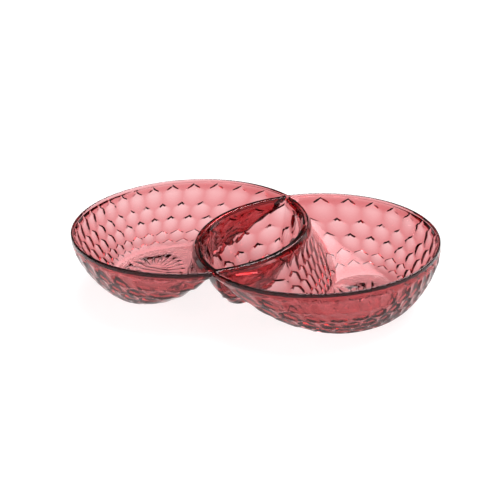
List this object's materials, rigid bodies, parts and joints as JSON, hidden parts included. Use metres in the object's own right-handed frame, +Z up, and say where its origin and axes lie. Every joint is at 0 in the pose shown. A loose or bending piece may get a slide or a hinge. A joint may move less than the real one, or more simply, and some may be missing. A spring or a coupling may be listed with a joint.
{
  "type": "chip and dip server",
  "caption": "Clear rose serving dish of overlapping round bowls, with a pointed dip cup where they overlap and a crescent bowl for chips on either side, faceted outside and smooth inside.",
  "frame": {"origin": "centre of the footprint on the table plane, under the middle of the dip cup", "axes": "+X along the long axis from the left bowl to the right bowl, +Y to the far side, +Z up"},
  "size_m": [0.406, 0.26, 0.0685],
  "materials": {
    "rose_clear": "polished, transparent rose pink, faceted outside"
  },
  "bodies": {
    "root": {"left_bowl_wall": "rose_clear", "left_bowl_floor": "rose_clear", "left_rim": "rose_clear", "left_divider_ridge": "rose_clear", "dip_cup_wall": "rose_clear", "dip_cup_floor": "rose_clear", "right_bowl_wall": "rose_clear", "right_bowl_floor": "rose_clear", "right_rim": "rose_clear", "right_divider_ridge": "rose_clear"}
  },
  "joints": []
}
